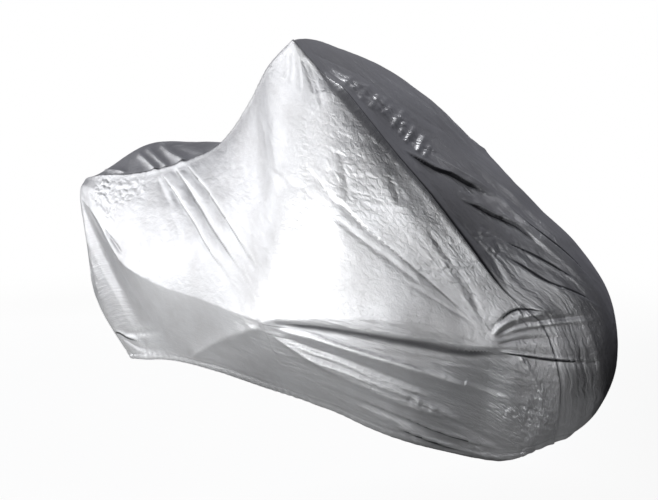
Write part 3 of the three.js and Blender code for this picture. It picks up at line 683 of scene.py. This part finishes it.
def panel(name, node, u, v, laid, first_turn, last_turn):
    """One panel: its folded grid, with turned edges, as a sheet that stands for its solid.

    Its attributes say where the coat takes a painted highlight on its crests and painted shade in its steep
    folds and under its laps, where it is crumpled, and where it is wrinkled along. The cloth is drawn from
    the high corners forward on the strip and beside the seams, and on the skirt.
    """
    points, normal, along, across, push, crumpled, painted_shade_map = sheet_grid(u, v, laid)
    rows, out_along, deep_along = turned(len(u), HEM_TURN, HEM_TURN)
    columns, out_across, deep_across = turned(v.shape[1], first_turn, last_turn)
    pick = np.ix_(rows, columns)
    ahead = unit(np.gradient(points, axis=0))[pick]
    aside = unit(np.gradient(points, axis=1))[pick]
    deep = np.maximum(deep_along[:, None], deep_across[None, :])
    grid = (points[pick] + ahead * out_along[:, None, None] + aside * out_across[None, :, None]
            - normal[pick] * deep[..., None])
    number = np.arange(grid[..., 0].size).reshape(grid.shape[:2])
    faces = np.stack([number[:-1, :-1], number[1:, :-1], number[1:, 1:], number[:-1, 1:]], -1).reshape(-1, 4)
    piece = add_mesh(name, (grid.reshape(-1, 3) - ORIGIN_MM) / 1000, faces, silver)
    place = np.stack([along[pick], across[pick]], -1).reshape(-1, 2) / 1000
    chart = piece.data.uv_layers.new(name="cut")
    chart.data.foreach_set("uv", place[faces.ravel()].astype(np.float32).ravel())
    # painted highlight: paler where the cloth stands above the cloth beside it
    crest = np.zeros_like(push)
    beside = (push[2:, 1:-1] + push[:-2, 1:-1] + push[1:-1, 2:] + push[1:-1, :-2]) / 4
    crest[1:-1, 1:-1] = np.clip((push[1:-1, 1:-1] - beside) * HIGHLIGHT_GAIN, 0, 1)
    off = np.abs(v)
    on_strip = off < SEAM
    by_seam = ramp(u, 9.6, 11)[:, None] * (1 - ramp(off, 1.6, 2.7))
    on_skirt = ramp(off, 2.9, 3.1) * ramp(u, 7, 9)[:, None]
    drawn = np.where(on_strip, ramp(u, 9.5, 11)[:, None], np.maximum(on_skirt, by_seam))
    wrinkled = WRINKLED[0] + (WRINKLED[1] + WRINKLED[2] * on_strip) * drawn
    loose = crumpled + LOOSE_BY_SEAM * by_seam * (off > SEAM)
    for title, values in (("painted_highlight", crest), ("painted_shade", painted_shade_map), ("crumple", loose), ("drawn", wrinkled)):
        layer = piece.data.attributes.new(title, "FLOAT", "POINT")
        layer.data.foreach_set("value", values[pick].astype(np.float32).ravel())
    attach(piece, "root")
    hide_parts(node)
    return piece, points, normal


def section_steps(total, closer):
    """Sections with about equal steps along the cloth, by the mean length of its guide lines, and with
    steps closer by a factor from the high corners to the nose, where most folds lie."""
    fine = np.linspace(0, LAST, 40 * LAST + 1)
    run = np.mean([lengths_along(guide_line(g, RIGHT, fine), 0) for g in (SPINE, SEAM, RIDGE, CREASE)], 0)
    dense = np.diff(run) * (1 + (closer - 1) * ramp(fine[1:], 9, 10) * ramp(-fine[1:], -17, -16))
    count = np.concatenate([[0], np.cumsum(dense)])
    return np.interp(np.linspace(0, count[-1], total), count, fine)


STRIP_COLUMNS = 151
UPPER_COLUMNS, SKIRT_COLUMNS = 100, 61  # of a side, above its crease and from there to its hem


def strip_places(u):
    """Guide places of the strip from right to left, with three more columns under the lap of each side."""
    seam = np.full((len(u), 1), float(SEAM))
    pitch = np.linalg.norm(smooth_cloth(u, 1.02 * seam) - smooth_cloth(u, seam), axis=-1) / 0.02
    lap = SEAM + LAP_MM * np.array([0.33, 0.66, 1.0]) / pitch
    middle = np.tile(np.linspace(-SEAM, SEAM, STRIP_COLUMNS), (len(u), 1))
    return np.hstack([-lap[:, ::-1], middle, lap])


def side_places(u):
    """Guide places of a side from its seam out: in each section steps of one length from seam to crease,
    then equal shares of the way from there to the hem."""
    fine = np.linspace(SEAM, CREASE, 241)
    runs = lengths_along(smooth_cloth(u, np.tile(-fine, (len(u), 1))), 1)
    share = np.linspace(0, 1, UPPER_COLUMNS, endpoint=False)
    upper = np.stack([np.interp(share * run[-1], run, fine) for run in runs])
    return np.hstack([upper, np.tile(np.linspace(CREASE, HEM, SKIRT_COLUMNS), (len(u), 1))])


SIDE_ROWS, STRIP_ROWS = (560, 1.3), (600, 1.8)  # rows, and how much closer they lie towards the front
side_u = section_steps(*SIDE_ROWS)
strip_u = section_steps(*STRIP_ROWS)
left_v = side_places(side_u)
right_side, right_points, right_normals = panel(
    "right_side", "panel_right", side_u, -left_v[:, ::-1], 1, HEM_TURN, SEAM_TURN)
left_side, left_points, left_normals = panel(
    "left_side", "panel_left", side_u, left_v, 1, SEAM_TURN, HEM_TURN)
centre_strip, strip_points, strip_normals = panel(
    "centre_strip", "panel_centre", strip_u, strip_places(strip_u), -1, [], [])

# Sewing of the panels: grey polyester thread, in two rows along each lapped seam and in one along the
# turned-up hem. It is sewn in even lockstitches, and the upper thread of each shows on the cloth.
STITCH_MM, PITCH_MM, THREAD_MM = 3.4, 4.2, 0.8
SEAM_ROWS_MM = (3, 8)  # rows from the edge of a side panel
FREE_STITCHES = 6  # stitches left out at each end of a row
PLY_MM = 6  # spacing of the thread's paler spots, drawn coarse so that they show

# Polyester sewing thread: spun, so dull, and paler where its plies catch the light.
thread, tree = blank_material("grey polyester thread")
spots = add_node(tree, "TexCoord").outputs["Object"]
plies = add_node(tree, "TexWave", {"Scale": 1000 / PLY_MM, "Distortion": 2},
                 {"Vector": spots}).outputs["Fac"]
spun = add_node(tree, "Mix", {"data_type": "RGBA", 6: linear("#8e8f92"), 7: linear("#b4b5b8")},
                {0: plies}).outputs[2]
dull = add_node(tree, "BsdfPrincipled", {"Roughness": 0.65}, {"Base Color": spun}).outputs["BSDF"]
add_node(tree, "OutputMaterial", (), {"Surface": dull})


def line_inside(points, normal, away):
    """Line along the first column of a grid, a distance in mm inside it, by straight shares between the
    two columns there, with its normals."""
    run = lengths_along(points, 1)
    row, k = np.arange(len(points)), (run <= away).sum(1) - 1
    share = ((away - run[row, k]) / (run[row, k + 1] - run[row, k]))[:, None]
    return points[row, k] * (1 - share) + points[row, k + 1] * share, normal[row, k]


def add_stitches(name, lines):
    """Stitches along lines: at each pitch a spindle of eight triangles, half sunk in the cloth, between
    its two tips, its two sides, its top and its bottom."""
    spindles = []
    for points, normal in lines:
        run = lengths_along(points, 0)
        free = FREE_STITCHES * PITCH_MM
        at = np.arange(free, run[-1] - free, PITCH_MM)
        tracks = ((points, 0), (points, -1), (points, 1), (normal, 0))
        middle, before, after, up = (
            np.stack([np.interp(at + shift, run, track[:, k]) for k in range(3)], -1)
            for track, shift in tracks)
        ahead, up = unit(after - before), unit(up)
        tip, side, top = ahead * STITCH_MM / 2, np.cross(up, ahead) * THREAD_MM / 2, up * THREAD_MM / 2
        spindles.append(np.stack([middle - tip, middle + tip, middle - side, middle + side,
                                  middle + top, middle - top], 1))
    corners = np.concatenate(spindles)
    around = np.array([(1, 3, 4), (3, 0, 4), (0, 2, 4), (2, 1, 4),
                       (3, 1, 5), (0, 3, 5), (2, 0, 5), (1, 2, 5)])
    faces = (np.arange(len(corners))[:, None, None] * 6 + around).reshape(-1, 3)
    piece = add_mesh(name, (corners.reshape(-1, 3) - ORIGIN_MM) / 1000, faces, thread)
    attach(piece, "root")
    return piece


def hem_lines(points, normal):
    """Lines of the sewing along the rear and the front edge of a grid, inside its turned-up hem."""
    turned_grid, turned_normal = points.swapaxes(0, 1), normal.swapaxes(0, 1)
    return [line_inside(turned_grid, turned_normal, CASING_MM),
            line_inside(turned_grid[:, ::-1], turned_normal[:, ::-1], CASING_MM)]


right_from_seam = right_points[:, ::-1], right_normals[:, ::-1]
left_from_hem = left_points[:, ::-1], left_normals[:, ::-1]
right_sewing = add_stitches(
    "right_seam_sewing", [line_inside(*right_from_seam, away) for away in SEAM_ROWS_MM])
left_sewing = add_stitches(
    "left_seam_sewing", [line_inside(left_points, left_normals, away) for away in SEAM_ROWS_MM])
right_hem = add_stitches(
    "right_hem_sewing",
    [line_inside(right_points, right_normals, CASING_MM), *hem_lines(right_points, right_normals)])
left_hem = add_stitches(
    "left_hem_sewing",
    [line_inside(*left_from_hem, CASING_MM), *hem_lines(left_points, left_normals)])
strip_hem = add_stitches("strip_hem_sewing", hem_lines(strip_points, strip_normals))

# Studio: a pale paper floor that runs out into white, and soft light. The paper is for the camera alone;
# what the cloth mirrors from below is a second, greyer floor at the same height, with glowing cards on it.
FLOOR_M = -0.82
FLOOR_MIDDLE = (0.6, 0, FLOOR_M)
FLOOR_HALF_M = 9


def add_floor(name, material):
    """Square floor under the cover."""
    corners = np.array([(-1, -1, 0), (1, -1, 0), (1, 1, 0), (-1, 1, 0)]) * FLOOR_HALF_M + FLOOR_MIDDLE
    piece = add_mesh(name, corners, np.array([[0, 1, 2, 3]]), material)
    return piece


# Matt paper, lifted nearly to white so that only the cover's shade shows on it, and plain white from 3 m on.
paper, tree = blank_material("pale studio paper")
matt = add_node(tree, "BsdfDiffuse", {"Color": linear("#f2f2f0")}).outputs["BSDF"]
lift = add_node(tree, "Emission", {"Strength": 0.93}).outputs["Emission"]
near_paper = add_node(tree, "AddShader", (), {0: matt, 1: lift}).outputs["Shader"]
far_paper = add_node(tree, "Emission", {"Strength": 1.0}).outputs["Emission"]
spots = add_node(tree, "TexCoord").outputs["Object"]
away = add_node(tree, "VectorMath", {"operation": "DISTANCE", 1: FLOOR_MIDDLE},
                {0: spots}).outputs["Value"]
fade = add_node(tree, "MapRange",
                {"interpolation_type": "SMOOTHSTEP", "From Min": 1.0, "From Max": 3.0},
                {"Value": away}).outputs["Result"]
shown = add_node(tree, "MixShader", (), {0: fade, 1: near_paper, 2: far_paper}).outputs["Shader"]
add_node(tree, "OutputMaterial", (), {"Surface": shown})
paper_floor = add_floor("paper_floor", paper)
paper_floor.visible_diffuse = paper_floor.visible_glossy = paper_floor.visible_shadow = False

# Grey painted floor, matt. It darkens to nearly black from 1.3 to 1.8 m along x, and twice as far along y;
# this darkening is painted shade.
painted, tree = blank_material("grey studio floor")
spots = add_node(tree, "TexCoord").outputs["Object"]
off = add_node(tree, "VectorMath", {"operation": "ABSOLUTE"}, {0: spots}).outputs["Vector"]
out = add_node(tree, "VectorMath", {"operation": "DOT_PRODUCT", 1: (0.8, 0.4, 0)},
               {0: off}).outputs["Value"]
shade = add_node(tree, "MapRange", {"From Min": 1.0, "From Max": 1.45},
                 {"Value": out}).outputs["Result"]
grey = add_node(tree, "Mix", {"data_type": "RGBA", 6: linear("#a8a8a6"), 7: linear("#202020")},
                {0: shade}).outputs[2]
matt = add_node(tree, "BsdfDiffuse", (), {"Color": grey}).outputs["BSDF"]
add_node(tree, "OutputMaterial", (), {"Surface": matt})
grey_floor = add_floor("grey_floor", painted)
grey_floor.visible_camera = False

# Cards one above the other: name, middle and size in metres, and strength.
CARDS = [
    ("right_card", (-0.1, -1.4), (2.9, 1.5), 4.0),
    ("rear_card", (-0.45, -0.4), (1.9, 1.2), 0.34),
    ("near_card", (0.7, -0.45), (1.1, 1.1), 0.16),
    ("low_card", (1.5, -0.15), (0.9, 0.8), 0.1),
    ("front_card", (1.55, -1.5), (1.4, 1.2), 1.0),
    ("flank_card", (1.1, -1.05), (1.4, 0.7), 1.45),
    ("left_card", (-0.1, 2.3), (3.0, 2.2), 2.4),
]
LOWEST_CARD_M, CARD_STEP_M = FLOOR_M + 0.012, 0.002


def glow_card(name, middle, size, height, strength):
    """Flat card that glows in its middle and fades out to its edges: its strength times a smooth step down
    from two fifths of the way. It lets light through and is hidden from the camera."""
    glowing, tree = blank_material(name)
    spots = add_node(tree, "TexCoord").outputs["Object"]
    off = add_node(tree, "VectorMath", {"operation": "SUBTRACT", 1: (*middle, 0)},
                   {0: spots}).outputs["Vector"]
    halves = (2 / size[0], 2 / size[1], 0)
    share = add_node(tree, "VectorMath", {"operation": "MULTIPLY", 1: halves},
                     {0: off}).outputs["Vector"]
    away = add_node(tree, "VectorMath", {"operation": "LENGTH"}, {0: share}).outputs["Value"]
    glow = add_node(tree, "MapRange",
                    {"interpolation_type": "SMOOTHSTEP", "From Min": 1, "From Max": 0.4,
                     "To Min": 0, "To Max": strength}, {"Value": away}).outputs["Result"]
    lit = add_node(tree, "Emission", (), {"Strength": glow}).outputs["Emission"]
    clear = add_node(tree, "BsdfTransparent").outputs["BSDF"]
    both = add_node(tree, "AddShader", (), {0: lit, 1: clear}).outputs["Shader"]
    add_node(tree, "OutputMaterial", (), {"Surface": both})
    flat = np.array([(-0.5, -0.5), (0.5, -0.5), (0.5, 0.5), (-0.5, 0.5)]) * size + middle
    corners = np.hstack([flat, np.full((4, 1), height)])
    piece = add_mesh(name, corners, np.array([[0, 1, 2, 3]]), glowing)
    piece.visible_camera = piece.visible_shadow = False


for layer, (name, middle, size, strength) in enumerate(CARDS):
    glow_card(name, middle, size, LOWEST_CARD_M + CARD_STEP_M * layer, strength)


def soft_box(name, middle, aim, size, watts):
    """Rectangular area light at middle that faces aim, both in metres, hidden from the camera."""
    lamp = bpy.data.lights.new(name, "AREA")
    lamp.shape, lamp.size, lamp.size_y, lamp.energy = "RECTANGLE", size[0], size[1], watts
    holder = bpy.data.objects.new(name, lamp)
    holder.location = middle
    holder.rotation_euler = (Vector(aim) - Vector(middle)).to_track_quat("-Z", "Y").to_euler()
    holder.visible_camera = False
    bpy.context.scene.collection.objects.link(holder)


soft_box("rear_low", (-3.02, -1.18, -0.3), (-1.27, -0.73, -0.3), (2.11, 1.0), 18)
soft_box("rear_high", (-3.02, -1.18, 0.75), (-1.27, -0.73, 0.75), (2.11, 1.1), 6.5)
soft_box("side_box", (-1.68, -2.9, 0.25), (-0.28, -0.75, 0.25), (2.57, 2.1), 26)
soft_box("middle_box", (0.07, -3.26, 0.2), (0.5, 0, 0.2), (0.55, 2.0), 4.2)
soft_box("turning_box", (0.62, -3.34, 0.2), (1.0, 0, 0.2), (0.55, 2.0), 3.4)
soft_box("front_box", (2.0, -3.1, 0.0), (1.1, 0, 0.0), (2.4, 1.7), 5.5)
soft_box("top_box", (0.95, 0.1, 2.6), (0.95, 0.1, 0), (0.8, 0.5), 14)
soft_box("left_box", (-1.7, 2.7, -0.1), (0, 0.3, -0.1), (2.6, 1.2), 9)

# Room: white to the camera, and dim to the cloth that mirrors it, least so to the rear and the left.
room = bpy.data.worlds.new("dim studio")
room.use_nodes = True
tree = room.node_tree
tree.nodes.clear()
seen = add_node(tree, "LightPath").outputs["Is Camera Ray"]
way = add_node(tree, "TexCoord").outputs["Generated"]
rearward = add_node(tree, "VectorMath", {"operation": "DOT_PRODUCT", 1: (-1, 0.6, 0)},
                    {0: way}).outputs["Value"]
glow = add_node(tree, "MapRange",
                {"From Min": -0.9, "From Max": 1, "To Min": 0.075, "To Max": 0.23},
                {"Value": rearward}).outputs["Result"]
dim = add_node(tree, "Background", {"Color": linear("#ececf8")},
               {"Strength": glow}).outputs["Background"]
white = add_node(tree, "Background",
                 {"Strength": 1.0, "Color": linear("#ffffff")}).outputs["Background"]
mixed = add_node(tree, "MixShader", (), {0: seen, 1: dim, 2: white}).outputs["Shader"]
add_node(tree, "OutputWorld", (), {"Surface": mixed})
bpy.context.scene.world = room
bpy.context.scene.view_settings.view_transform = "Standard"

# Camera: 41 degrees round from the right side to the front, and 9 degrees up.
VIEW_AT, VIEW_DISTANCE, VIEW_LENS = Vector((0.595, 0.0, -0.307)), 3.56, 63
VIEW_ROUND, VIEW_UP = math.radians(41), math.radians(9)
level = Vector((math.sin(VIEW_ROUND), -math.cos(VIEW_ROUND), 0.0)) * math.cos(VIEW_UP)
back = level + Vector((0.0, 0.0, math.sin(VIEW_UP)))
camera = bpy.data.objects.new("camera", bpy.data.cameras.new("camera"))
camera.data.lens = VIEW_LENS
camera.location = VIEW_AT + back * VIEW_DISTANCE
camera.rotation_euler = (-back).to_track_quat("-Z", "Y").to_euler()
bpy.context.scene.collection.objects.link(camera)
bpy.context.scene.camera = camera
